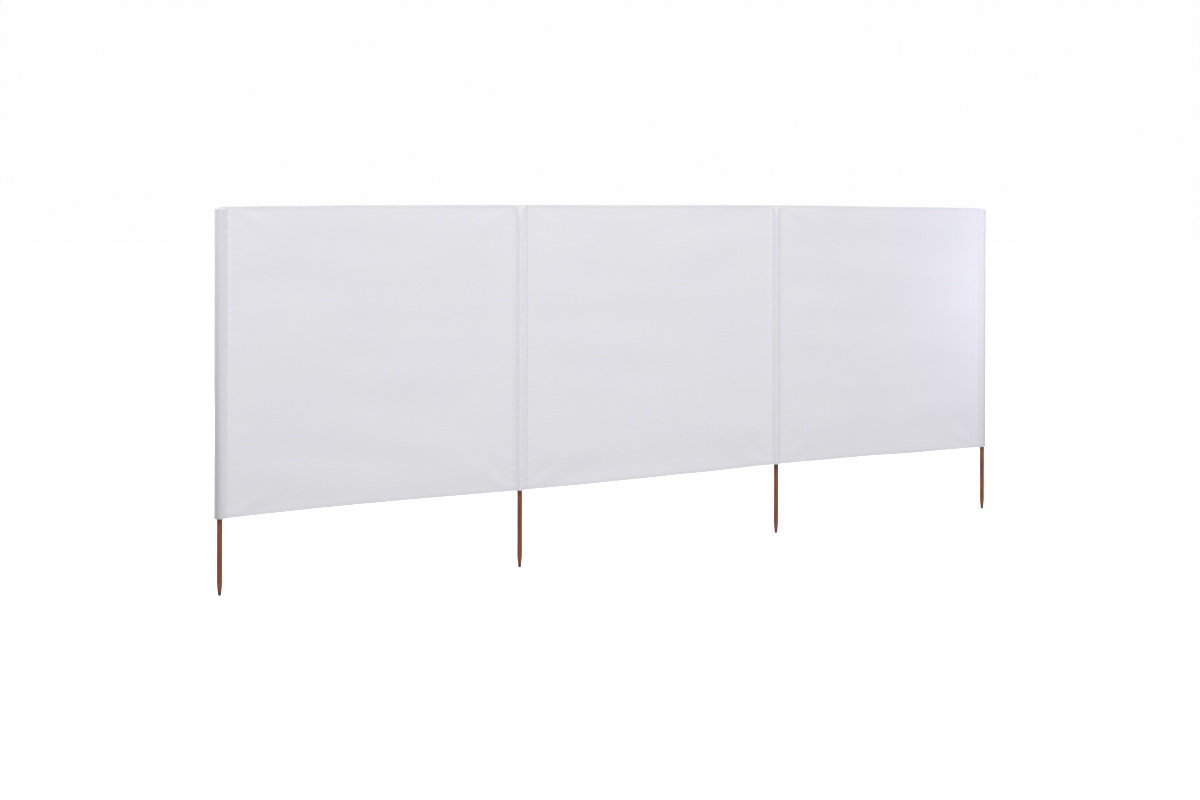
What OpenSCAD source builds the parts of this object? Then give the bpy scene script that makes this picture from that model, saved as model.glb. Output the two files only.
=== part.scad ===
// Beach windbreak: three bays of white cloth on four wooden poles, driven into the sand by their points.
// The run lies along X and stands up along Z. The origin is the flat foot of the left inner pole.

/* [Run] */
// Width of the left bay, from pole axis to pole axis
left_bay_w = 1309; // [700:1:1900]
// Width of the centre bay, from pole axis to pole axis
centre_bay_w = 1354; // [700:1:1900]
// Width of the right bay, from pole axis to pole axis
right_bay_w = 1295; // [700:1:1900]

/* [Poles] */
// Diameter of a pole
pole_d = 22; // [18:1:30]
// Length of bare pole below the cloth where a pole is pushed right up into its pocket, as the left one is
bare_length = 311; // [200:1:450]
// How far the left inner pole has slid down its pocket
left_inner_slip = 34; // [0:1:60]
// How far the right inner pole has slid down its pocket
right_inner_slip = 21; // [0:1:60]
// How far the right pole has slid down its pocket
right_slip = 25; // [0:1:60]
// Length of the tapered driving point
point_length = 48; // [30:1:80]
// Diameter of the blunt flat end of the point
foot_d = 12; // [8:1:14]
// Radius of the rounded edge round the head of a pole
head_round = 2.5; // [1:0.5:3.5]

/* [Cloth] */
// Height of the cloth from its bottom edge to its top edge
cloth_h = 1260; // [700:5:1500]
// Thickness of one layer of cloth
ply = 1; // [0.6:0.1:1.4]
// Height of the turned hems along the top and bottom edges
hem_h = 15; // [10:1:25]
// Width of the seam allowance that is turned back behind the cloth beside each pocket
lap_w = 10; // [6:1:15]

/* [Pole pockets] */
// Play all round between a pole and its pocket
pocket_play = 1.5; // [1.2:0.1:3]
// Cloth between the round of an inner pocket and the end of its seam
seam_slack = 13.5; // [10:0.5:20]
// Cloth between the round of an end pocket and the end of its seam
end_seam_slack = 19.5; // [12:0.5:30]
// Cloth between the round of an end pocket and its outer fold
fold_slack = 7.5; // [5:0.5:15]
// Width of the stitched seam beside a pocket
stitch_w = 6; // [4:0.5:8]
// Height over which a pocket draws together to its closed top
pocket_top_h = 18; // [16:1:30]
// Play between an inner pocket and the bay that swings round it
swing_play = 0.5; // [0.3:0.1:1]

/* [Hidden] */
$fn = 48;
draw_in_fn = 32;
arc_steps = 10;

pole_r = pole_d / 2;
foot_r = foot_d / 2;

// Radii of the round of a pocket, inside and outside
pocket_in_r = pole_r + pocket_play;
pocket_out_r = pocket_in_r + ply;

// Reach of the seams and folds from the axis of their own pole
seam_reach = pocket_out_r + seam_slack;
end_seam_reach = pocket_out_r + end_seam_slack;
fold_reach = pocket_out_r + fold_slack;

// Radius of the fold at the outer edge of an end pocket, and of the same fold inside
fold_in_share = 0.5;
fold_in_r = fold_in_share * ply;
fold_r = fold_in_r + ply;

// Heights of the run
cloth_bottom = bare_length + left_inner_slip;
cloth_top = cloth_bottom + cloth_h;
pocket_top_z = cloth_top - pocket_top_h;

// The head of a pole that is pushed right up stands a little way into the closed top of its pocket
head_play = 0.5;
pole_length = bare_length + cloth_h - pocket_top_h + head_round + head_play;

// A turned hem is the cloth and two more layers behind it
hem_t = 3 * ply;
hem_fold_r = hem_t / 2;
cloth_half = ply / 2;

// How far the closed top of an end pocket stops short of the fold below it
corner_slope_share = 0.4;
corner_slope = corner_slope_share * fold_reach;

// Thickness of the slices that the drawn-in tops start from
slice_share = 0.1;
slice_t = slice_share * ply;

// Overrun of every cut
cut = 1;

wood = "#8c5239";
cloth_white = "#dfdee3";
seam_white = "#d3d2d8";

// Axes of the four poles, from left to right
left_x = -left_bay_w;
left_inner_x = 0;
right_inner_x = centre_bay_w;
right_x = centre_bay_w + right_bay_w;

// Angle at which a straight side leaves a circle of radius r to touch one of radius q at distance d
function side_angle(r, q, d) = acos((r - q) / d);

// Points of a circle of radius r round [x, 0], from angle a to angle b
function arc(x, r, a, b) =
    [for (i = [0 : arc_steps]) let(t = a + (b - a) * i / arc_steps) [x + r * cos(t), r * sin(t)]];

// Poles

// A turned pole: blunt driving point, straight shank and a head with a rounded edge
module pole(x, slip) {
    shank_top = pole_length - head_round;
    color(wood)
    translate([x, 0, cloth_bottom - bare_length - slip])
    rotate_extrude()
    union() {
        polygon([
            [0, 0],
            [foot_r, 0],
            [pole_r, point_length],
            [pole_r, shank_top],
            [pole_r - head_round, pole_length],
            [0, pole_length]
        ]);
        translate([pole_r - head_round, shank_top])
        circle(r = head_round);
    }
}

// Cloth and hems

// The single layer of a bay's cloth between its two pockets
module cloth(from_x, to_x) {
    color(cloth_white)
    translate([from_x, -cloth_half, cloth_bottom + hem_fold_r])
    cube([to_x - from_x, ply, cloth_h - 2 * hem_fold_r]);
}

// Section of a hem whose fold is at the top: the rounded fold, and the layers turned down behind the cloth
module hem_section() {
    translate([ply, 0])
    intersection() {
        circle(r = hem_fold_r);
        translate([-hem_fold_r - cut, 0])
        square([2 * (hem_fold_r + cut), hem_fold_r + cut]);
    }
    translate([cloth_half, hem_fold_r - hem_h])
    square([hem_t - ply, hem_h - hem_fold_r]);
}

// A hem along the top edge of a bay
module top_hem(from_x, to_x) {
    color(cloth_white)
    translate([from_x, 0, cloth_top - hem_fold_r])
    rotate([90, 0, 90])
    linear_extrude(height = to_x - from_x)
    hem_section();
}

// The same hem turned over, along the bottom edge
module bottom_hem(from_x, to_x) {
    color(cloth_white)
    translate([from_x, 0, cloth_bottom + hem_fold_r])
    rotate([90, 0, 90])
    linear_extrude(height = to_x - from_x)
    mirror([0, 1])
    hem_section();
}

// Pole pockets

// Outline of an end pocket: round the pole at radius r, out to a fold of radius q on its left, and on its
// right tangentially in to the seam, where it is seam_r thick each way and ends in seam_points
function pocket_outline(r, q, seam_r, seam_points) =
    let(
        fold_x = fold_reach - fold_r,
        fold_a = side_angle(r, q, fold_x),
        seam_a = side_angle(r, seam_r, end_seam_reach - stitch_w)
    )
    concat(
        arc(0, r, seam_a, 180 - fold_a),
        arc(-fold_x, q, 180 - fold_a, 180 + fold_a),
        arc(0, r, 180 + fold_a, 360 - seam_a),
        seam_points
    );

module end_pocket_outline() {
    seam_x = end_seam_reach - stitch_w;
    polygon(pocket_outline(pocket_out_r, fold_r, ply, [
        [seam_x, -ply],
        [end_seam_reach, -ply],
        [end_seam_reach, ply],
        [seam_x, ply]
    ]));
}

// The space inside an end pocket, one layer in from its outline
module end_pocket_space() {
    seam_x = end_seam_reach - stitch_w;
    polygon(pocket_outline(pocket_in_r, fold_in_r, 0, [[seam_x, 0]]));
}

// The end of the cloth folded round an end pole and stitched to itself
module end_pocket(x, turn) {
    color(cloth_white)
    translate([x, 0, cloth_bottom])
    rotate([0, 0, turn])
    linear_extrude(height = cloth_h - pocket_top_h)
    difference() {
        end_pocket_outline();
        end_pocket_space();
    }
}

// The round of an inner pocket, which the bays on both sides are stitched to
module inner_pocket(x) {
    color(cloth_white)
    translate([x, 0, cloth_bottom])
    linear_extrude(height = cloth_h - pocket_top_h)
    difference() {
        circle(r = pocket_out_r);
        circle(r = pocket_in_r);
    }
}

// A straight-sided block that draws in from a round at its base to a flat seam at its top
module draw_in(round_r, left_reach, left_top, right_reach, height, seam_t, seam_h) {
    hull() {
        cylinder(h = slice_t, r = round_r, $fn = draw_in_fn);
        translate([-left_reach, -seam_t / 2, 0])
        cube([left_reach + right_reach, seam_t, slice_t]);
        translate([-left_top, -seam_t / 2, height - seam_h])
        cube([left_top + right_reach, seam_t, seam_h]);
    }
}

// Closed top of an end pocket: its two sides draw together over the pole's head, lower at the outer corner
module end_pocket_top(x, turn) {
    space_h = pocket_top_h - 2 * ply;
    color(cloth_white)
    translate([x, 0, pocket_top_z])
    rotate([0, 0, turn])
    difference() {
        draw_in(
            pocket_out_r, fold_reach, fold_reach - corner_slope,
            end_seam_reach, pocket_top_h, 2 * ply, 2 * ply
        );
        translate([0, 0, -slice_t])
        draw_in(
            pocket_in_r, fold_reach - fold_r, fold_reach - corner_slope - ply,
            end_seam_reach - stitch_w, space_h, fold_in_r, fold_in_r
        );
    }
}

// Closed top of an inner pocket
module inner_pocket_top(x) {
    space_h = pocket_top_h - 2 * ply;
    color(cloth_white)
    translate([x, 0, pocket_top_z])
    difference() {
        draw_in(
            pocket_out_r, pocket_out_r - ply, pocket_out_r - ply,
            pocket_out_r - ply, pocket_top_h, 2 * ply, 2 * ply
        );
        translate([0, 0, -slice_t])
        draw_in(
            pocket_in_r, pocket_in_r - ply, pocket_in_r - ply,
            pocket_in_r - ply, space_h, fold_in_r, fold_in_r
        );
    }
}

// Seams

// Section of the two layers that leave an inner pocket and draw together to the stitched seam, towards +X
module drawn_layers(space) {
    seam_x = seam_reach - stitch_w;
    difference() {
        polygon([
            [0, pole_r],
            [seam_x, ply],
            [seam_reach, ply],
            [seam_reach, -ply],
            [seam_x, -ply],
            [0, -pole_r]
        ]);
        if (space) {
            polygon([
                [-cut, pole_r - ply],
                [0, pole_r - ply],
                [seam_x, 0],
                [0, ply - pole_r],
                [-cut, ply - pole_r]
            ]);
        }
    }
}

// Seam between an inner pocket and the bay beside it. play is left round the pocket on a bay that swings.
module inner_seam(x, turn, play) {
    color(seam_white)
    translate([x, 0, cloth_bottom])
    difference() {
        rotate([0, 0, turn])
        union() {
            linear_extrude(height = cloth_h - hem_h)
            drawn_layers(true);
            translate([0, 0, cloth_h - hem_h])
            linear_extrude(height = hem_h)
            drawn_layers(false);
        }
        translate([0, 0, -cut])
        cylinder(h = cloth_h + 2 * cut, r = pocket_out_r + play);
    }
    lap(x, turn, seam_reach);
}

// The seam allowance turned back behind the cloth, between the hems, from reach away from the pole at x
module lap(x, turn, reach) {
    from_x = turn == 0 ? x + reach : x - reach - lap_w;
    color(seam_white)
    translate([from_x, cloth_half, cloth_bottom + hem_h])
    cube([lap_w, ply, cloth_h - 2 * hem_h]);
}

// What each bay spans between its pockets
left_from = left_x + end_seam_reach;
left_to = left_inner_x - seam_reach;
centre_from = left_inner_x + seam_reach;
centre_to = right_inner_x - seam_reach;
right_from = right_inner_x + seam_reach;
right_to = right_x - end_seam_reach;

pole(left_x, 0);  // left_pole
pole(left_inner_x, left_inner_slip);  // left_inner_pole
pole(right_inner_x, right_inner_slip);  // right_inner_pole
pole(right_x, right_slip);  // right_pole

cloth(left_from, left_to);  // left_cloth
cloth(centre_from, centre_to);  // centre_cloth
cloth(right_from, right_to);  // right_cloth

top_hem(left_from, left_to);  // left_top_hem
top_hem(centre_from, centre_to);  // centre_top_hem
top_hem(right_from, right_to);  // right_top_hem

bottom_hem(left_from, left_to);  // left_bottom_hem
bottom_hem(centre_from, centre_to);  // centre_bottom_hem
bottom_hem(right_from, right_to);  // right_bottom_hem

end_pocket(left_x, 0);  // left_pocket
inner_pocket(left_inner_x);  // left_inner_pocket
inner_pocket(right_inner_x);  // right_inner_pocket
end_pocket(right_x, 180);  // right_pocket

end_pocket_top(left_x, 0);  // left_pocket_top
inner_pocket_top(left_inner_x);  // left_inner_pocket_top
inner_pocket_top(right_inner_x);  // right_inner_pocket_top
end_pocket_top(right_x, 180);  // right_pocket_top

lap(left_x, 0, end_seam_reach);  // left_outer_seam
inner_seam(left_inner_x, 180, swing_play);  // left_inner_seam
inner_seam(left_inner_x, 0, 0);  // centre_left_seam
inner_seam(right_inner_x, 180, 0);  // centre_right_seam
inner_seam(right_inner_x, 0, swing_play);  // right_inner_seam
lap(right_x, 180, end_seam_reach);  // right_outer_seam
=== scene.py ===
"""Looks of the beach windbreak: white cloth in three bays, sewn in sleeves round four stained poles."""

import math

import bmesh
import bpy
from mathutils import Matrix, Vector, noise


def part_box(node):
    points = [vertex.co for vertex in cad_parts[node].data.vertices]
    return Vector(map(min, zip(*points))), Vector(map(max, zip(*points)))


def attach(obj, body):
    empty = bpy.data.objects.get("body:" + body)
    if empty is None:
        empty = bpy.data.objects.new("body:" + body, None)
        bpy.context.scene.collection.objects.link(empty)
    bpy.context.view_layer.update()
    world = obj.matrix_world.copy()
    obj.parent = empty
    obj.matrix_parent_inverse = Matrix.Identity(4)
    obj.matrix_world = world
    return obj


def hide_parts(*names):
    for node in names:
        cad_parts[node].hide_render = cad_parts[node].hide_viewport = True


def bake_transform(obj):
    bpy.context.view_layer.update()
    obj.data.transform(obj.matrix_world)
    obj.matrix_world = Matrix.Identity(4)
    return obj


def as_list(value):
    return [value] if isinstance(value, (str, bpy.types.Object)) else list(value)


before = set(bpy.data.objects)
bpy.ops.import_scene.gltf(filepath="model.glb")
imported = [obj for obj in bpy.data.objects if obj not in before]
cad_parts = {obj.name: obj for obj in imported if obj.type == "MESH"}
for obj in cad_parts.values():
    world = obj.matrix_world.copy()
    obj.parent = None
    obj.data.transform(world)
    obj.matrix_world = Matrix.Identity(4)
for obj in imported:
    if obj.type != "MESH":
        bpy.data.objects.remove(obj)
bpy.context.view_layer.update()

mm = 0.001

# Places and sizes worked out from the frame


def low(node, axis):
    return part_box(node)[0][axis]


def high(node, axis):
    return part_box(node)[1][axis]


def middle(node):
    return (low(node, 0) + high(node, 0)) / 2


pole_names = ("left_pole", "left_inner_pole", "right_inner_pole", "right_pole")
left_x, left_inner_x, right_inner_x, right_x = (middle(name) for name in pole_names)
pole_r = (high("left_pole", 0) - low("left_pole", 0)) / 2
pole_head = {name: high(name, 2) for name in pole_names}
cloth_foot = low("left_pocket", 2)
cloth_head = high("left_pocket_top", 2)
seam_reach = left_inner_x - high("left_cloth", 0)
end_seam_reach = low("left_cloth", 0) - left_x
fold_reach = left_x - low("left_pocket", 0)
lap_w = high("left_outer_seam", 0) - low("left_outer_seam", 0)
hem_h = high("left_bottom_hem", 2) - low("left_bottom_hem", 2)
# How far up from its foot each pole's driving point reaches
point_h = 48.0 * mm

# Cloth: the real one is about 0.3 mm thick, and its layers lie close on each other. A sleeve is sewn down
# over stitch_w of the bay's edge, and turn_h of it is turned in at its mouth and its top
cloth_t = 0.5 * mm
layer = 0.6 * mm
sleeve_r = 13.0 * mm
stitch_w = 6.0 * mm
turn_h = 12.0 * mm

# Sewing: the stitches, how far in from an edge each line of them runs, and the gathers over a pole's head
thread_t = 0.5 * mm
stitch_pitch = 4.0 * mm
stitch_length = 3.3 * mm
hem_stitch_h = 11.5 * mm
thread_reach = 3.0 * mm
top_stitch_h = 3.0 * mm
mouth_stitch_h = turn_h - 2 * mm
gather_pitch = 10.5 * mm
gather_depth = 0.7 * mm

# How far apart the cloth's threads are bent, near seams and edges and away from them
fine_pitch = 3.0 * mm
edge_pitch = 4.0 * mm
coarse_pitch = 8.0 * mm

# How much lighter or darker the cloth of each sleeve is painted left of its pole, on it and right of it, as
# shares, at its
# mouth and at its top: painted shade where the pole shows through, and on the end sleeves painted light and
# shade for how light falls, darker at the mouth
sleeve_painted_shading = {
    "left_pole": ((-0.26, -0.19, -0.08), (0.02, -0.08, -0.055)),
    "left_inner_pole": ((0.01, -0.01, 0.02), (0.01, -0.015, 0.045)),
    "right_inner_pole": ((-0.01, -0.03, -0.02), (-0.01, -0.03, -0.02)),
    "right_pole": ((-0.08, -0.17, -0.26), (0.02, -0.04, -0.10)),
}
# The same painted light and shade for the doubled cloth beside each bay's left and right seam, each at its
# foot and at its top
seam_painted_shading = {
    "left": ((0.0, 0.06), (-0.02, -0.02)),
    "centre": ((-0.07, -0.07), (0.04, 0.04)),
    "right": ((-0.02, -0.02), (0.03, 0.03)),
}
# Painted shade the same way for a sleeve's gathers, for what is added where they lie on a pole's head, and
# for hems and laps
gather_painted_shade = -0.09
lid_painted_shade = -0.15
hem_painted_shade = -0.035
lap_painted_shade = -0.01

# How far the edges stand above their straight lines, at places along the run, as the photograph shows
top_edge = (
    (left_x - fold_reach, -12.0 * mm),
    (left_x + pole_r, -5.0 * mm),
    (left_x + 0.27, -2.0 * mm),
    (left_x + 0.55, 2.0 * mm),
    (left_inner_x, 4.5 * mm),
    (right_inner_x, 5.5 * mm),
    (right_x - 0.40, -2.5 * mm),
    (right_x - pole_r, -7.5 * mm),
    (right_x + fold_reach, -16.0 * mm),
)
bottom_edge = (
    (left_x - fold_reach, -2.5 * mm),
    (left_x + 0.50, 1.5 * mm),
    (left_inner_x, -4.0 * mm),
    (left_inner_x + 0.30, -6.0 * mm),
    (right_inner_x - 0.40, -3.0 * mm),
    (right_inner_x, 3.0 * mm),
    (right_inner_x + 0.45, -0.5 * mm),
    (right_x - 0.35, -7.5 * mm),
    (right_x + fold_reach, -10.0 * mm),
)


def ease(t):
    """Runs smoothly from 0 at t = 0 to 1 at t = 1."""
    t = min(max(t, 0.0), 1.0)
    return t * t * (3.0 - 2.0 * t)


def between(points, x):
    """Height at x of the line that runs smoothly through points."""
    for (x0, h0), (x1, h1) in zip(points, points[1:]):
        if x <= x1:
            return h0 + (h1 - h0) * ease((x - x0) / (x1 - x0))
    return points[-1][1]


def lift(x, z):
    """How far the cloth at x, z hangs above its place in the frame."""
    share = (z - cloth_foot) / (cloth_head - cloth_foot)
    return between(bottom_edge, x) * (1 - share) + between(top_edge, x) * share


# Stretches of single cloth between the seams
spans = {
    "left": (left_x + end_seam_reach, left_inner_x - seam_reach),
    "centre": (left_inner_x + seam_reach, right_inner_x - seam_reach),
    "right": (right_inner_x + seam_reach, right_x - end_seam_reach),
}


# Ripples: how deep each kind is, and how long, how high, how far apart or how far from its seam it is
belly_depth = 5.0 * mm
fold_depth, fold_length, fold_height = 2.3 * mm, 0.60, 0.13
drag_depth, drag_length, drag_height = 2.8 * mm, 0.34, 0.40
fan_depth, fan_start, fan_fade = 1.3 * mm, 0.10, 0.22
seam_pucker_depth, seam_pucker_pitch, seam_pucker_fade = 0.55 * mm, 0.034, 0.016
hem_pucker_depth, hem_pucker_pitch, hem_pucker_fade = 0.50 * mm, 0.036, 0.018
# The seam holds the cloth flat beside it, and the folds reach their depth this far away
held_w = 0.12


def corner_folds(along, up, seed):
    """Two or three shallow folds that fan out from a corner of a bay, at along and up from it."""
    reach = math.hypot(along, up)
    angle = math.atan2(up, along)
    fan = math.sin(9.0 * angle + 2.0 * noise.noise(Vector((seed, reach / 0.3, 0.0))))
    return fan_depth * fan * ease(reach / fan_start) * math.exp(-reach / fan_fade)


def ripple(x, z):
    """How far the cloth stands behind its plane at x, z. Each bay has folds and puckers of its own."""
    number, (start, end) = min(
        enumerate(spans.values()), key=lambda span: max(span[1][0] - x, x - span[1][1])
    )
    from_seam = max(min(x - start, end - x), 0.0)
    share = min(max((x - start) / (end - start), 0.0), 1.0)
    from_edge = max(min(z - cloth_foot, cloth_head - z), 0.0)
    held = ease(from_seam / held_w)
    belly = belly_depth * math.sin(math.pi * share) * (0.6 + 0.4 * math.sin(math.pi * (z - cloth_foot)))
    slanted = z / fold_height + 0.35 * x
    folds = fold_depth * noise.noise(Vector((x / fold_length, 7.0 * number, slanted)))
    drag = drag_depth * noise.noise(Vector((x / drag_length, 31.0 + number, z / drag_height)))
    corners = sum(
        corner_folds(along, up, 3.0 * number + place)
        for place, (up, along) in enumerate(
            (up, along) for up in (cloth_head - z, z - cloth_foot) for along in (x - start, end - x)
        )
    )
    seam_waver = 3.0 * noise.noise(Vector((number, z / 0.09, share)))
    seam_wave = math.sin(2 * math.pi * z / seam_pucker_pitch + seam_waver)
    seam_pucker = seam_pucker_depth * math.exp(-from_seam / seam_pucker_fade) * seam_wave
    hem_waver = 4.0 * noise.noise(Vector((x / 0.11, number, 5.0)))
    hem_wave = math.sin(2 * math.pi * x / hem_pucker_pitch + hem_waver)
    hem_pucker = hem_pucker_depth * math.exp(-from_edge / hem_pucker_fade) * hem_wave
    return held * (belly + folds + drag + corners + hem_pucker) + seam_pucker * ease(from_edge / 0.02)


# Building blocks


def spread(start, end, pitch):
    """Places from start to end, evenly spaced at about pitch."""
    steps = max(1, round(abs(end - start) / pitch))
    return [start + (end - start) * i / steps for i in range(steps + 1)]


def stretches(*marks):
    """Places through marks, each a place and the pitch up to the next one."""
    places = [marks[0][0]]
    for (start, pitch), (end, _) in zip(marks, marks[1:]):
        places += spread(start, end, pitch)[1:]
    return places


def running(points):
    """Distance along points from the first to each one."""
    total = [0.0]
    for a, b in zip(points, points[1:]):
        total.append(total[-1] + math.dist(a, b))
    return total


def finish_piece(name, bm, material):
    """The bmesh as a smooth shaded piece of the object."""
    for face in bm.faces:
        face.smooth = True
    mesh = bpy.data.meshes.new(name)
    bm.to_mesh(mesh)
    bm.free()
    mesh.materials.append(material)
    piece = bpy.data.objects.new(name, mesh)
    bpy.context.scene.collection.objects.link(piece)
    return piece


def sew_sheet(name, sections, across, up, tone, material):
    """A sheet cut flat, across by up, with each thread crossing moved to its place in sections[row][column].
    tone(row, column) is the light and shade painted on it there, as a share."""
    columns, rows = len(across) - 1, len(up) - 1
    bm = bmesh.new()
    bmesh.ops.create_grid(bm, x_segments=columns, y_segments=rows, size=0.5)
    cut = bm.loops.layers.uv.new("cut")
    painted_shading = bm.verts.layers.float.new("painted_shading")
    crossing = {}
    for vert in bm.verts:
        column, row = round((vert.co.x + 0.5) * columns), round((vert.co.y + 0.5) * rows)
        crossing[vert] = (across[column], up[row])
        vert.co = sections[row][column]
        vert[painted_shading] = tone(row, column)
    for face in bm.faces:
        for loop in face.loops:
            loop[cut].uv = crossing[loop.vert]
    for edge in bm.edges:
        edge.smooth = not edge.is_boundary
    sheet = finish_piece(name, bm, material)
    solid = sheet.modifiers.new("cloth thickness", "SOLIDIFY")
    solid.thickness = cloth_t
    solid.offset = 0.0
    bpy.context.view_layer.update()
    whole = sheet.evaluated_get(bpy.context.evaluated_depsgraph_get())
    thick = bpy.data.meshes.new_from_object(whole)
    sheet.modifiers.clear()
    sheet.data = thick
    return sheet


def add(tree, kind, links=None, **settings):
    """Adds a node with its settings, and its inputs' links or values, by the inputs' names or numbers."""
    made = tree.nodes.new(kind)
    for key, value in settings.items():
        setattr(made, key, value)
    for socket, value in (links or {}).items():
        if isinstance(value, bpy.types.NodeSocket):
            tree.links.new(value, made.inputs[socket])
        else:
            made.inputs[socket].default_value = value
    return made


def colour(code):
    """An sRGB hex colour as a linear one."""
    parts = [int(code[i : i + 2], 16) / 255 for i in (1, 3, 5)]
    return [p / 12.92 if p <= 0.04045 else ((p + 0.055) / 1.055) ** 2.4 for p in parts] + [1.0]


def new_material(name):
    material = bpy.data.materials.new(name)
    material.use_nodes = True
    material.node_tree.nodes.clear()
    return material, material.node_tree


# Materials

# A wave texture of scale 1 repeats every 0.314 m, so this over a pitch is the scale that repeats at the pitch
wave_period = 0.31416


def woven_polyester():
    """Plain-woven polyester taffeta, heat set and uncoated: matt, nearly white, with a fine over and under
    weave, slightly thicker weft threads here and there, a faint unevenness in its whiteness, and painted
    light and shade."""
    material, tree = new_material("woven polyester cloth")
    # The real threads are about 0.4 mm apart, too fine to show, so they are drawn three times as coarse
    thread_gap = 1.2 * mm
    cut = add(tree, "ShaderNodeUVMap", uv_map="cut").outputs["UV"]
    warp = add(tree, "ShaderNodeTexWave", {"Vector": cut, "Scale": wave_period / thread_gap},
               wave_type="BANDS", bands_direction="X", wave_profile="SIN").outputs["Fac"]
    weft = add(tree, "ShaderNodeTexWave", {"Vector": cut, "Scale": wave_period / thread_gap},
               wave_type="BANDS", bands_direction="Y", wave_profile="SIN").outputs["Fac"]
    over = add(tree, "ShaderNodeTexChecker", {
        "Vector": cut, "Scale": 1 / thread_gap, "Color1": colour("#ffffff"), "Color2": colour("#000000"),
    }).outputs["Fac"]
    weave = add(tree, "ShaderNodeMix", {0: over, 2: warp, 3: weft}).outputs[0]
    # Slubs, the thicker stretches of weft, run 80 mm along and are two threads high
    stretched = add(tree, "ShaderNodeMapping", {
        "Vector": cut, "Scale": (1 / 0.08, 1 / (2 * thread_gap), 1.0),
    }).outputs[0]
    slubs = add(tree, "ShaderNodeTexNoise", {
        "Vector": stretched, "Scale": 1.0, "Detail": 2.0, "Roughness": 0.5,
    }).outputs["Fac"]
    # Whiteness drifts by about one percent over some 400 mm
    drift = add(tree, "ShaderNodeTexNoise", {
        "Vector": cut, "Scale": 1 / 0.40, "Detail": 3.0, "Roughness": 0.55,
    }).outputs["Fac"]
    white = add(tree, "ShaderNodeMix", {0: drift, 6: colour("#dddce3"), 7: colour("#e1e0e3")},
                data_type="RGBA").outputs[2]
    slubbed = add(tree, "ShaderNodeMapRange", {"Value": slubs, 1: 0.3, 2: 0.7, 3: 0.985, 4: 1.015}).outputs[0]
    gaps = add(tree, "ShaderNodeMapRange", {"Value": weave, 1: 0.0, 2: 1.0, 3: 0.97, 4: 1.01}).outputs[0]
    # Painted light and shade, per piece: darker where layers or a pole lie behind the cloth, lighter or
    # darker as light falls
    layers = add(tree, "ShaderNodeAttribute", attribute_name="painted_shading").outputs["Fac"]
    painted_shading_factor = add(tree, "ShaderNodeMath", {0: layers, 1: 1.0}, operation="ADD").outputs[0]
    even = add(tree, "ShaderNodeMath", {0: slubbed, 1: gaps}, operation="MULTIPLY").outputs[0]
    value = add(tree, "ShaderNodeMath", {0: even, 1: painted_shading_factor}, operation="MULTIPLY").outputs[0]
    base = add(tree, "ShaderNodeVectorMath", {0: white, 3: value}, operation="SCALE").outputs[0]
    rough = add(tree, "ShaderNodeMapRange", {"Value": slubs, 1: 0.3, 2: 0.7, 3: 0.80, 4: 0.88}).outputs[0]
    height = add(tree, "ShaderNodeMath", {0: slubs, 1: 0.5, 2: weave}, operation="MULTIPLY_ADD").outputs[0]
    bump = add(tree, "ShaderNodeBump", {"Height": height, "Strength": 0.35, "Distance": 0.15 * mm}).outputs[0]
    shader = add(tree, "ShaderNodeBsdfPrincipled", {
        "Base Color": base, "Roughness": rough, "IOR": 1.5, "Specular IOR Level": 0.3, "Normal": bump,
        "Sheen Weight": 0.12, "Sheen Roughness": 0.5,
    })
    add(tree, "ShaderNodeOutputMaterial", {"Surface": shader.outputs[0]})
    return material


def sewing_thread():
    """Spun polyester sewing thread, two plies twisted: a little greyer and glossier than the cloth, so a seam
    shows as a fine dotted line."""
    material, tree = new_material("polyester sewing thread")
    place = add(tree, "ShaderNodeTexCoord").outputs["Object"]
    # The twist of the two plies repeats about every millimetre
    twist = add(tree, "ShaderNodeTexWave", {"Vector": place, "Scale": wave_period / (1.0 * mm)},
                wave_type="BANDS", bands_direction="DIAGONAL").outputs["Fac"]
    base = add(tree, "ShaderNodeMix", {0: twist, 6: colour("#c9c8d0"), 7: colour("#dad9e0")},
               data_type="RGBA").outputs[2]
    bump = add(tree, "ShaderNodeBump", {"Height": twist, "Strength": 0.4, "Distance": 0.1 * mm}).outputs[0]
    shader = add(tree, "ShaderNodeBsdfPrincipled", {
        "Base Color": base, "Roughness": 0.55, "IOR": 1.5, "Normal": bump, "Sheen Weight": 0.1,
    })
    add(tree, "ShaderNodeOutputMaterial", {"Surface": shader.outputs[0]})
    return material


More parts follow.
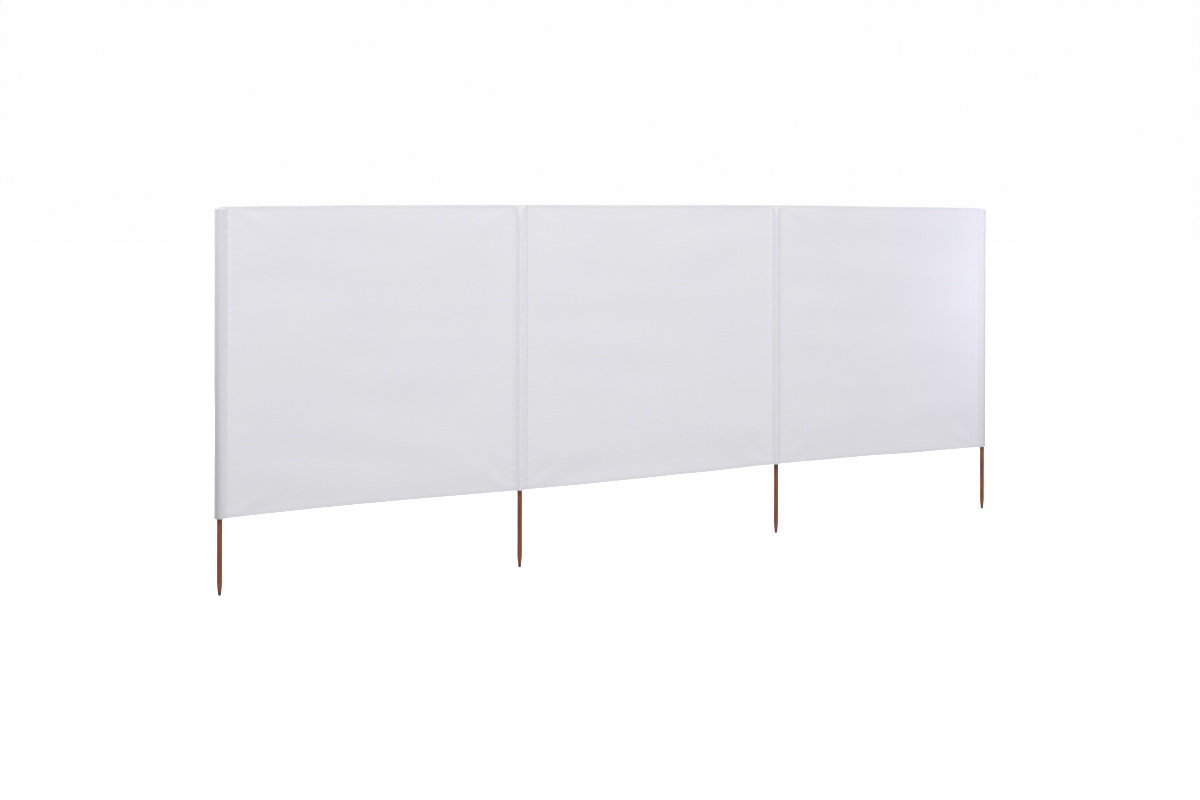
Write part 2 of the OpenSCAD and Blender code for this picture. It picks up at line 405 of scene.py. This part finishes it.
def stained_hardwood(pole):
    """Turned hardwood dowel, stained red-brown and not varnished: straight close grain in darker and lighter
    streaks along the pole, short open pores, and a rubbed and darkened driving point with end grain."""
    material, tree = new_material("stained hardwood dowel " + pole)
    x, foot = middle(pole), low(pole, 2)
    place = add(tree, "ShaderNodeTexCoord").outputs["Object"]
    own = add(tree, "ShaderNodeMapping", {"Vector": place, "Location": (-x, 0.0, -foot)}).outputs[0]
    # Each pole is cut from another part of the board
    board = add(tree, "ShaderNodeMapping", {"Vector": place, "Location": (3.7 * x, 0.9 * x, x)}).outputs[0]
    # Growth rings 2 to 7 mm apart, met at a slant, so that they wander and run out in streaks 200 mm long
    slanted = add(tree, "ShaderNodeMapping", {"Vector": board, "Scale": (1.0, 1.0, 0.03)}).outputs[0]
    rings = add(tree, "ShaderNodeTexWave", {
        "Vector": slanted, "Scale": wave_period / (5.0 * mm),
        "Distortion": 11.0, "Detail": 3.0, "Detail Scale": 1.6,
    }, wave_type="BANDS", bands_direction="X").outputs["Fac"]
    # Fibres about 1 mm wide and 60 mm long
    drawn = add(tree, "ShaderNodeMapping", {"Vector": board, "Scale": (1.0, 1.0, 1 / 60)}).outputs[0]
    fibres = add(tree, "ShaderNodeTexNoise", {
        "Vector": drawn, "Scale": 1 / (1.0 * mm), "Detail": 3.0, "Roughness": 0.6,
    }).outputs["Fac"]
    # Pores: the real ones are 0.2 mm wide, drawn 0.8 mm wide and 10 mm long so that they show
    short = add(tree, "ShaderNodeMapping", {"Vector": board, "Scale": (1.0, 1.0, 0.08)}).outputs[0]
    specks = add(tree, "ShaderNodeTexNoise", {
        "Vector": short, "Scale": 1 / (0.8 * mm), "Detail": 1.0,
    }).outputs["Fac"]
    pores = add(tree, "ShaderNodeMapRange", {"Value": specks, 1: 0.64, 2: 0.72}).outputs[0]
    grain = add(tree, "ShaderNodeMix", {0: 0.38, 2: fibres, 3: rings}).outputs[0]
    stain = add(tree, "ShaderNodeValToRGB", {"Fac": grain})
    stain.color_ramp.elements[0].position = 0.22
    stain.color_ramp.elements[0].color = colour("#5e2813")
    stain.color_ramp.elements[1].position = 0.78
    stain.color_ramp.elements[1].color = colour("#a4552e")
    # Cloudy patches where the wood took up more stain, about 150 mm long
    uneven = add(tree, "ShaderNodeMapping", {"Vector": board, "Scale": (20.0, 20.0, 6.0)}).outputs[0]
    patches = add(tree, "ShaderNodeTexNoise", {"Vector": uneven, "Scale": 1.0, "Detail": 2.0}).outputs["Fac"]
    patchy = add(tree, "ShaderNodeMapRange", {"Value": patches, 1: 0.3, 2: 0.7, 3: 0.86, 4: 1.10}).outputs[0]
    stained = add(tree, "ShaderNodeVectorMath", {0: stain.outputs[0], 3: patchy},
                  operation="SCALE").outputs[0]
    pored = add(tree, "ShaderNodeMix", {0: pores, 6: stained, 7: colour("#421b0c")},
                data_type="RGBA").outputs[2]
    # The stain is rubbed thin along the shoulder, where the point begins to taper
    height = add(tree, "ShaderNodeSeparateXYZ", {0: own}).outputs[2]
    above_shoulder = add(tree, "ShaderNodeMath", {0: height, 1: point_h}, operation="SUBTRACT").outputs[0]
    from_shoulder = add(tree, "ShaderNodeMath", {0: above_shoulder}, operation="ABSOLUTE").outputs[0]
    band = add(tree, "ShaderNodeMapRange", {
        "Value": from_shoulder, 1: 0.0, 2: 7.0 * mm, 3: 1.0, 4: 0.0,
    }).outputs[0]
    thin = add(tree, "ShaderNodeMapRange", {"Value": fibres, 1: 0.40, 2: 0.60, 3: 0.0, 4: 0.5}).outputs[0]
    worn = add(tree, "ShaderNodeMath", {0: band, 1: thin}, operation="MULTIPLY").outputs[0]
    rubbed = add(tree, "ShaderNodeMix", {0: worn, 6: pored, 7: colour("#b87a50")},
                 data_type="RGBA").outputs[2]
    # The foot has stood in wet sand: nearly black end grain, fading out unevenly some 25 mm up
    wandering = add(tree, "ShaderNodeMath", {0: patches, 1: 12 * mm, 2: height},
                    operation="MULTIPLY_ADD").outputs[0]
    wet = add(tree, "ShaderNodeMapRange", {"Value": wandering, 1: 14 * mm, 2: 34 * mm, 3: 0.9, 4: 0.0},
              interpolation_type="SMOOTHSTEP").outputs[0]
    footed = add(tree, "ShaderNodeMix", {0: wet, 6: rubbed, 7: colour("#332620")},
                 data_type="RGBA").outputs[2]
    # Painted shadow of the cloth's mouth: the wood is darkened inside the sleeve and some 25 mm below it
    in_run = add(tree, "ShaderNodeSeparateXYZ", {0: place}).outputs[2]
    below = add(tree, "ShaderNodeMath", {0: patches, 1: 16 * mm, 2: in_run},
                operation="MULTIPLY_ADD").outputs[0]
    mouth_painted_shadow = add(tree, "ShaderNodeMapRange", {
        "Value": below, 1: cloth_foot - 26 * mm, 2: cloth_foot - 6 * mm, 3: 0.0, 4: 0.6,
    }, interpolation_type="SMOOTHSTEP").outputs[0]
    darkened = add(tree, "ShaderNodeMix", {0: mouth_painted_shadow, 6: footed, 7: colour("#401c0e")},
                   data_type="RGBA").outputs[2]
    dry = add(tree, "ShaderNodeMapRange", {"Value": grain, 1: 0.2, 2: 0.8, 3: 0.46, 4: 0.38}).outputs[0]
    relief = add(tree, "ShaderNodeMath", {0: pores, 1: -0.6, 2: grain}, operation="MULTIPLY_ADD").outputs[0]
    bump = add(tree, "ShaderNodeBump", {"Height": relief, "Strength": 0.5, "Distance": 0.2 * mm}).outputs[0]
    shader = add(tree, "ShaderNodeBsdfPrincipled", {
        "Base Color": darkened, "Roughness": dry, "IOR": 1.5, "Specular IOR Level": 0.3, "Normal": bump,
    })
    add(tree, "ShaderNodeOutputMaterial", {"Surface": shader.outputs[0]})
    return material


cloth = woven_polyester()
thread = sewing_thread()

# Bays

# A hem is folded at the cloth's edge and tucked under hem_h in from it, and its raw edge lies inside
fold_r = layer
tuck_r = layer / 2
raw_edge_h = 3.0 * mm
hem_rows = (5 * mm, 9 * mm)
tucked_row = 8 * mm


def half_turn(r, behind, inside, start, steps):
    """Points of a half turn of radius r about a place that far behind the cloth and in from its edge."""
    angles = [start + math.pi * i / steps for i in range(steps + 1)]
    return [(behind - r * math.cos(a), inside - r * math.sin(a)) for a in angles]


def hem_turn():
    """Section of a turned hem from its fold on, as how far behind the cloth and how far in from the edge."""
    fold = half_turn(fold_r, fold_r, fold_r, 0.0, 5)
    tuck = half_turn(tuck_r, 2 * layer - tuck_r, hem_h - tuck_r, math.pi, 3)
    turned = [(2 * layer, row) for row in hem_rows]
    tucked = [(layer, row) for row in (tucked_row, raw_edge_h)]
    return fold + turned + tuck + tucked


def bay_section():
    """Section of a bay from the raw edge in its bottom hem to the one in its top hem, as y, z."""
    turn = hem_turn()
    foot = [(behind, cloth_foot + inside) for behind, inside in turn]
    head = [(behind, cloth_head - inside) for behind, inside in turn]
    edge_band = 0.040
    front = stretches(
        (cloth_foot + fold_r, edge_pitch), (cloth_foot + edge_band, coarse_pitch),
        (cloth_head - edge_band, edge_pitch), (cloth_head - fold_r, edge_pitch),
    )
    return foot[::-1] + [(0.0, z) for z in front[1:-1]] + head


def bay_piece(bay):
    """The cloth of one bay with its turned hems, as one sheet. Its sides run in under the sleeves' seams."""
    start, end = spans[bay]
    seam_band = lap_w + 2 * mm
    columns = stretches(
        (start - stitch_w, fine_pitch), (start, fine_pitch), (start + seam_band, coarse_pitch),
        (end - seam_band, fine_pitch), (end, fine_pitch), (end + stitch_w, fine_pitch),
    )
    rows = bay_section()
    sections = [[Vector((x, y + ripple(x, z), z + lift(x, z))) for x in columns] for y, z in rows]

    # Painted light and shade: lighter or darker on the doubled cloth beside each seam, and painted shade over
    # the hems
    def tone(row, column):
        z, x = rows[row][1], columns[column]
        share = (z - cloth_foot) / (cloth_head - cloth_foot)
        at_seam = sum(
            (foot + (head - foot) * share) * (from_seam < lap_w)
            for from_seam, (foot, head) in zip((x - start, end - x), seam_painted_shading[bay])
        )
        return at_seam + hem_painted_shade * (min(z - cloth_foot, cloth_head - z) < hem_h)

    piece = sew_sheet(bay + "_screen", sections, columns, running(rows), tone, cloth)
    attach(piece, bay + "_bay")
    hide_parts(bay + "_cloth", bay + "_top_hem", bay + "_bottom_hem")
    return piece, (columns[-1] - columns[0], running(rows)[-1])


# Stitches


def one_stitch():
    """A stitch as a small spindle of thread along X, which every stitch is a copy of."""
    bm = bmesh.new()
    long = Matrix.Diagonal((stitch_length / 2, thread_t / 2, thread_t / 2, 1.0))
    bmesh.ops.create_uvsphere(
        bm, u_segments=4, v_segments=4, radius=1.0, matrix=long @ Matrix.Rotation(math.pi / 2, 4, "Y")
    )
    stitch = bpy.data.meshes.new("stitch")
    bm.to_mesh(stitch)
    bm.free()
    return stitch


def stitch_line(bm, stitch, path, facing):
    """Sews along path, a list of points on the cloth, with stitches that stand out along facing."""
    places = running(path)
    count = int(places[-1] / stitch_pitch)
    at = 0
    for i in range(count):
        along_path = (i + 0.5) * places[-1] / count
        while at < len(places) - 2 and places[at + 1] < along_path:
            at += 1
        share = (along_path - places[at]) / (places[at + 1] - places[at])
        point = path[at].lerp(path[at + 1], share)
        along = (path[at + 1] - path[at]).normalized()
        out = (facing - facing.dot(along) * along).normalized()
        turn = Matrix((along, out.cross(along), out)).transposed().to_4x4()
        sewn = stitch.copy()
        sewn.transform(Matrix.Translation(point) @ turn)
        bm.from_mesh(sewn)
        bpy.data.meshes.remove(sewn)


def stitching(name, lines):
    """The stitches of all lines as one piece. Each line is a path and the way it faces."""
    bm = bmesh.new()
    stitch = one_stitch()
    for path, facing in lines:
        stitch_line(bm, stitch, path, facing)
    piece = finish_piece(name, bm, thread)
    return piece


to_front, to_back = Vector((0.0, -1.0, 0.0)), Vector((0.0, 1.0, 0.0))
surface = cloth_t / 2 + 0.1 * thread_t

# Sleeves

# Steps that a curved stretch round a pole is bent in, and how far apart the lap's columns are
curve_steps = 8
lap_pitch = 2.0 * mm
# How close over a pole's head the cloth lies, and how much of the top is closed at least
lid_gap = 2.5 * mm
closed_band = 3.0 * mm
# How far below the head the drawing in begins, and how high above the head a lid has become a taper
drawn_below = 3.0 * mm
taper_h = 0.03
# How high the finely bent stretches above the mouth and round the pole's head are
mouth_band = 30 * mm
shoulder_drop = 8 * mm
gather_band = 20 * mm
# How far apart the rows are between those stretches, and round the head
sleeve_pitch = 7 * mm
gather_row_pitch = 1.4 * mm
# The folds at mouth and top are rounded over this height, and a turned-in layer has rows this far apart
rounded_h = 1.0 * mm
turn_pitch = 1.8 * mm
# A sleeve bulges by this share more or less, over this height
waver_share = 0.06
waver_h = 0.11


def bulge_to(reach):
    """From the seam or fold at reach to the front of the pole: how far along and out the cloth stands."""
    touch = math.acos(sleeve_r / reach)
    run, rise = sleeve_r * math.cos(touch) - reach, sleeve_r * math.sin(touch)
    tangent = [(reach + run * i / curve_steps, rise * i / curve_steps) for i in range(curve_steps)]
    angles = spread(touch, math.pi / 2, math.pi / 2 / curve_steps)
    return tangent + [(sleeve_r * math.cos(a), sleeve_r * math.sin(a)) for a in angles]


def sleeve_rows(axis, head):
    """Rows of a sleeve: height, and how far inside the outer layer the turned edges lie at mouth and top."""
    mouth, top = cloth_foot, cloth_head
    turn_in = [(h, layer) for h in spread(turn_h, 1.2 * rounded_h, turn_pitch)]
    turn_in += [(0.5 * rounded_h, 0.9 * layer), (0.0, layer / 2)]
    shoulder = head - lift(axis, head) - shoulder_drop
    middle_rows = stretches(
        (mouth + rounded_h, edge_pitch), (mouth + mouth_band, sleeve_pitch), (shoulder, gather_row_pitch),
        (min(shoulder + gather_band, top - fine_pitch), fine_pitch), (top - rounded_h, fine_pitch),
    )
    return (
        [(mouth + h, inset) for h, inset in turn_in]
        + [(z, 0.0) for z in middle_rows]
        + [(top - h, inset) for h, inset in turn_in[::-1]]
    )


def closed_top(x, head):
    """Height from which a sleeve is drawn together, and 1 where that is so close over the pole's head that
    the cloth lies on it as a lid, down to 0 where it tapers in."""
    top = cloth_head + lift(x, cloth_head)
    closed = max(top - turn_h, min(head + lid_gap, top - closed_band))
    return closed, 1 - ease((closed - head) / taper_h)


def closing(x, z, head):
    """1 where the sleeve stands round its pole, falling to 0 where it is drawn together over the head."""
    closed, lid = closed_top(x, head)
    start = head - drawn_below
    t = min(max((z + lift(x, z) - start) / (closed - start), 0.0), 1.0)
    return math.sqrt(1 - t * t) * lid + (1 - t) * (1 - lid)


def hemmed(z):
    """1 beside the bays' hems, where there are more layers to sew through, and 0 between them."""
    inside = min(z - cloth_foot, cloth_head - z)
    return 1 - ease((inside - hem_h) / (3 * mm) + 0.5)


def front_lap(z):
    """How far in front of the bays' cloth the sleeves' front layer is sewn down."""
    return layer * (1 + hemmed(z))


def back_lap(z):
    """How far behind the bays' cloth the sleeves' back layer is sewn down."""
    return layer * (1 + 3 * hemmed(z))


def sleeve_point(axis, head, column, z):
    """Place of a sleeve's cloth. column is how far along it is from the pole's axis, how far out it bulges,
    which side of the seam it is on, from 1 in front to -1 behind, and how much the bay's ripples reach it."""
    along, out, side, rippled = column
    x = axis + along
    closed = closing(x, z, head)
    wave = noise.noise(Vector((axis * 3 + 40 * along, side, z / waver_h)))
    lap = front_lap(z) if side > 0 else back_lap(z)
    behind = lap * rippled + 1.5 * layer * (1 - rippled)
    y = -side * behind - math.copysign(out * closed * (1 + waver_share * wave), side)
    # Where it is drawn together, both layers lie in the same small gathers
    gathered = (1 - closed) * ease((cloth_head - z) / (8 * mm)) * out / sleeve_r
    y += gather_depth * gathered * math.sin(2 * math.pi * along / gather_pitch)
    return Vector((x, y + rippled * ripple(x, z), z + lift(x, z)))


def sleeve_sections(axis, head, columns, rows):
    """The rows of a sleeve, each with its turned-in layers moved inwards from the outline at that height."""
    sections = []
    for z, inset in rows:
        outline = [sleeve_point(axis, head, column, z) for column in columns]
        moved = []
        for i, point in enumerate(outline):
            run = outline[min(i + 1, len(outline) - 1)] - outline[max(i - 1, 0)]
            inwards = Vector((-run.y, run.x, 0.0)).normalized()
            moved.append(point + inset * inwards)
        sections.append(moved)
    return sections


def sleeve_painted_shading_at(axis, pole, along, z):
    """Light and shade painted on a sleeve's cloth at along and z, as a share, with painted shade over its
    gathers and lid.
    """
    clear = pole_r + 4 * mm
    share = (z - cloth_foot) / (cloth_head - cloth_foot)
    mouth, top = (between(tuple(zip((-clear, 0.0, clear), tones)), along) for tones in sleeve_painted_shading[pole])
    closed = closing(axis + along, z, pole_head[pole])
    _, lid = closed_top(axis + along, pole_head[pole])
    drawn_in = ease((1 - closed) / 0.1) * ease(closed / 0.1)
    return mouth + (top - mouth) * share + (gather_painted_shade + lid_painted_shade * lid) * drawn_in


def sleeve_piece(name, axis, pole, columns, seam):
    """A sleeve or one of its layers, from its columns, sewn down beyond seam."""
    rows = sleeve_rows(axis, pole_head[pole])
    sections = sleeve_sections(axis, pole_head[pole], columns, rows)
    across = running(sections[len(rows) // 2])
    up = running([(z, inset) for z, inset in rows])

    # Painted shade on the laps, and painted light and shade on the rest of the sleeve
    def tone(row, column):
        along = columns[column][0]
        return lap_painted_shade if abs(along) > seam + 0.1 * mm else sleeve_painted_shading_at(axis, pole, along, rows[row][0])

    piece = sew_sheet(name, sections, across, up, tone, cloth)
    return piece, (across[-1], up[-1])


def sleeve_stitches(name, axis, pole, layers):
    """Stitches round a sleeve's mouth and across its closed top. A layer is its columns and how it faces."""
    lines = []
    for z in (cloth_foot + mouth_stitch_h, cloth_head - top_stitch_h):
        for columns, facing in layers:
            path = sleeve_sections(axis, pole_head[pole], columns, [(z, -surface)])[0]
            lines.append((path, facing))
    return stitching(name, lines)


def rippled_from(seam, along):
    """How much of the bay's ripples reach a sleeve's cloth at along: none over the pole, all at the seam."""
    return ease((along - 0.6 * seam) / (0.4 * seam))


def end_sleeve(side, axis, pole, turn):
    """The end of the cloth folded round an end pole and sewn down on both sides of the bay's edge.
    turn is 1 where the bay lies to the right of the pole and -1 where it lies to the left."""
    seam = end_seam_reach - stitch_w
    bend = 1.5 * layer
    crease = fold_reach - bend
    lap = [(along, 0.0) for along in spread(end_seam_reach, seam, lap_pitch)[:-1]]
    tail = [(along, 0.0) for along in spread(end_seam_reach + lap_w, seam, lap_pitch)[:-1]]
    half = bulge_to(seam) + [(-along, out) for along, out in bulge_to(crease)[-2::-1]]
    angles = spread(0.0, math.pi, math.pi / 6)[1:-1]
    fold = [(-crease - bend * math.sin(a), 0.0, math.cos(a)) for a in angles]
    front = [(along, out, 1.0) for along, out in lap + half]
    back = [(along, out, -1.0) for along, out in (tail + half)[::-1]]

    def placed(points):
        """Columns in the order that makes the cloth face outwards on either end of the run."""
        columns = [(turn * a, out, facing, rippled_from(seam, a)) for a, out, facing in points]
        return columns[::-turn]

    name = side + "_sleeve"
    piece, flat = sleeve_piece(name, axis, pole, placed(front + fold + back), seam)
    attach(piece, side + "_bay")
    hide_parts(side + "_pocket", side + "_pocket_top", side + "_outer_seam")
    sewn = sleeve_stitches(
        name + "_stitches", axis, pole, ((placed(front), to_front), (placed(back), to_back))
    )
    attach(sewn, side + "_bay")
    return piece, flat, sewn


def inner_sleeve(name, axis, pole, facing, bodies, nodes):
    """One of the two layers of an inner sleeve, in front of its pole or behind it, sewn to both bays.
    facing is 1 for the front layer and -1 for the back one, which has the laps."""
    seam = seam_reach - stitch_w
    lap = seam_reach if facing > 0 else seam_reach + lap_w
    edge = [(along, 0.0) for along in spread(lap, seam, lap_pitch)[:-1]]
    half = edge + bulge_to(seam)
    run = [(-along, out) for along, out in half] + half[-2::-1]
    columns = [(along, out, facing, rippled_from(seam, abs(along))) for along, out in run]
    if facing < 0:
        columns = columns[::-1]
    piece, flat = sleeve_piece(name, axis, pole, columns, seam)
    outwards = to_front if facing > 0 else to_back
    sewn = sleeve_stitches(name + "_stitches", axis, pole, ((columns, outwards),))
    for part in (piece, sewn):
        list(bodies)
        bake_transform(part)
    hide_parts(*nodes)
    return piece, flat, sewn


def bay_stitches(bay):
    """Stitches along the hems of a bay, and down the seams and lap edges at its sides."""
    start, end = spans[bay]
    lines = []

    def line(places, facing):
        """A line of stitches through places, each an x, how far behind the cloth it lies, and a z."""
        path = [Vector((x, y + ripple(x, z), z + lift(x, z))) for x, y, z in places]
        lines.append((path, facing))

    for z in (cloth_foot + hem_stitch_h, cloth_head - hem_stitch_h):
        xs = spread(start, end, coarse_pitch)
        line([(x, -surface, z) for x in xs], to_front)
        line([(x, 2 * layer + surface, z) for x in xs], to_back)
    zs = spread(cloth_foot + edge_pitch, cloth_head - edge_pitch, coarse_pitch)
    for seam, inwards in ((start, 1.0), (end, -1.0)):
        on_lap, on_bay = seam - inwards * thread_reach, seam + inwards * (lap_w - thread_reach)
        line([(on_lap, -front_lap(z) - surface, z) for z in zs], to_front)
        line([(on_bay, -surface, z) for z in zs], to_front)
        for x in (on_lap, on_bay):
            line([(x, back_lap(z) + surface, z) for z in zs], to_back)
    piece = stitching(bay + "_stitches", lines)
    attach(piece, bay + "_bay")
    return piece


bays = {bay: bay_piece(bay) for bay in spans}
end_sleeves = {
    "left": end_sleeve("left", left_x, "left_pole", 1),
    "right": end_sleeve("right", right_x, "right_pole", -1),
}
inner_nodes = {
    "left": ("left_inner_pocket", "left_inner_pocket_top", "left_inner_seam", "centre_left_seam"),
    "right": ("right_inner_pocket", "right_inner_pocket_top", "centre_right_seam", "right_inner_seam"),
}
inner_places = {
    "left": (left_inner_x, "left_inner_pole", ("left_bay", "centre_bay")),
    "right": (right_inner_x, "right_inner_pole", ("centre_bay", "right_bay")),
}
inner_sleeves = {}
for side, (axis, pole, bodies) in inner_places.items():
    for layer_name, facing in (("front", 1.0), ("back", -1.0)):
        name = side + "_inner_sleeve_" + layer_name
        inner_sleeves[name] = inner_sleeve(name, axis, pole, facing, bodies, inner_nodes[side])

bay_threads = {bay: bay_stitches(bay) for bay in spans}

for name in pole_names:
    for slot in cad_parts[name].material_slots:
        slot.material = stained_hardwood(name)

# The poles beside each bay and beside each inner sleeve
poles_beside = dict(zip(spans, zip(pole_names, pole_names[1:])))
for bay, (piece, flat) in bays.items():
    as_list(poles_beside[bay])
for name, (piece, flat, sewn) in inner_sleeves.items():
    pole = name.split("_sleeve")[0] + "_pole"

# Studio


def soft_box(name, place, aim, size, power, tint="#ffffff"):
    """A soft box at place that points at aim. size is its width and height."""
    light = bpy.data.lights.new(name, "AREA")
    light.shape = "RECTANGLE"
    light.size, light.size_y = size
    light.energy = power
    light.color = colour(tint)[:3]
    lamp = bpy.data.objects.new(name, light)
    bpy.context.scene.collection.objects.link(lamp)
    lamp.location = place
    lamp.rotation_euler = (Vector(aim) - Vector(place)).to_track_quat("-Z", "Y").to_euler()
    lamp.visible_camera = False


floor_reach = 60.0
backdrop_r = 58.0


def white_floor():
    """Seamless matt white paper, so the cloth stands against plain white as in the photograph."""
    material, tree = new_material("matt white paper")
    grain = add(tree, "ShaderNodeTexNoise", {"Scale": 900.0, "Detail": 1.0}).outputs["Fac"]
    bump = add(tree, "ShaderNodeBump", {"Height": grain, "Strength": 0.05, "Distance": 0.1 * mm}).outputs[0]
    shader = add(tree, "ShaderNodeBsdfPrincipled", {
        "Base Color": colour("#f7f7f7"), "Roughness": 0.9, "Specular IOR Level": 0.1, "Normal": bump,
    })
    add(tree, "ShaderNodeOutputMaterial", {"Surface": shader.outputs[0]})
    bm = bmesh.new()
    bmesh.ops.create_grid(bm, x_segments=1, y_segments=1, size=floor_reach)
    floor = finish_piece("floor", bm, material)
    floor.visible_diffuse = False


def white_backdrop():
    """Plain white all round, far behind the floor, which gives the object no light of its own."""
    material, tree = new_material("evenly lit white backdrop")
    glow = add(tree, "ShaderNodeEmission", {"Color": colour("#ffffff"), "Strength": 0.99})
    add(tree, "ShaderNodeOutputMaterial", {"Surface": glow.outputs[0]})
    bm = bmesh.new()
    bmesh.ops.create_uvsphere(bm, u_segments=48, v_segments=24, radius=backdrop_r)
    bmesh.ops.reverse_faces(bm, faces=bm.faces)
    backdrop = finish_piece("backdrop", bm, material)
    backdrop.visible_diffuse = False
    backdrop.visible_glossy = False
    backdrop.visible_shadow = False


white_floor()
white_backdrop()
run_middle = (left_x + right_x) / 2
soft_box(
    "front soft box",
    place=(run_middle - 0.3, -5.5, 2.5), aim=(run_middle - 0.3, 0.0, 1.0), size=(5.5, 2.5), power=250.0,
)
soft_box(
    "back soft box",
    place=(run_middle, 5.5, 3.2), aim=(run_middle, 0.0, 1.0), size=(5.5, 2.5), power=220.0,
)
# Daylight from the left, and from the front near the right end, both cooler than the lamps
soft_box(
    "left window",
    place=(left_x - 1.5, -0.75, 1.9), aim=(left_x, 0.0, 1.4), size=(0.8, 0.8), power=6.0, tint="#ededff",
)
soft_box(
    "right window",
    place=(right_x + 0.25, -0.7, 1.25), aim=(right_x + 0.1, 0.0, 1.2), size=(0.3, 0.9), power=2.3,
    tint="#dcdeff",
)
sun = bpy.data.lights.new("ceiling", "SUN")
sun.energy = 2.85
sun.angle = math.radians(70.0)
ceiling = bpy.data.objects.new("ceiling", sun)
bpy.context.scene.collection.objects.link(ceiling)

world = bpy.data.worlds.new("white studio")
bpy.context.scene.world = world
world.use_nodes = True
room_light = world.node_tree.nodes["Background"]
room_light.inputs["Color"].default_value = colour("#ffffff")
room_light.inputs["Strength"].default_value = 0.25
bpy.context.scene.view_settings.view_transform = "Standard"

# Camera: the photograph's viewpoint, found from the heads, feet and spacing of the poles. It is held level,
# since the poles stand parallel in the picture, so the frame is shifted down to take them in
camera_place = Vector((-2.3784, -5.6552, 1.6018))
camera_yaw = math.radians(26.125)
camera_roll = math.radians(0.09)
photo_width, photo_height = 1200, 800
focal_px = 1377.6
horizon_row = 206.7

forward = Vector((math.sin(camera_yaw), math.cos(camera_yaw), 0.0))
level = Vector((math.cos(camera_yaw), -math.sin(camera_yaw), 0.0))
upright = level.cross(forward)
camera_right = math.cos(camera_roll) * level + math.sin(camera_roll) * upright
camera_up = math.cos(camera_roll) * upright - math.sin(camera_roll) * level
lens = bpy.data.cameras.new("photograph")
lens.sensor_width = 36.0
lens.lens = lens.sensor_width * focal_px / photo_width
lens.shift_y = -(photo_height / 2 - horizon_row) / photo_width
lens.clip_end = 200.0
camera = bpy.data.objects.new("photograph", lens)
bpy.context.scene.collection.objects.link(camera)
turned = Matrix((camera_right, camera_up, -forward)).transposed().to_4x4()
camera.matrix_world = Matrix.Translation(camera_place) @ turned
bpy.context.scene.camera = camera
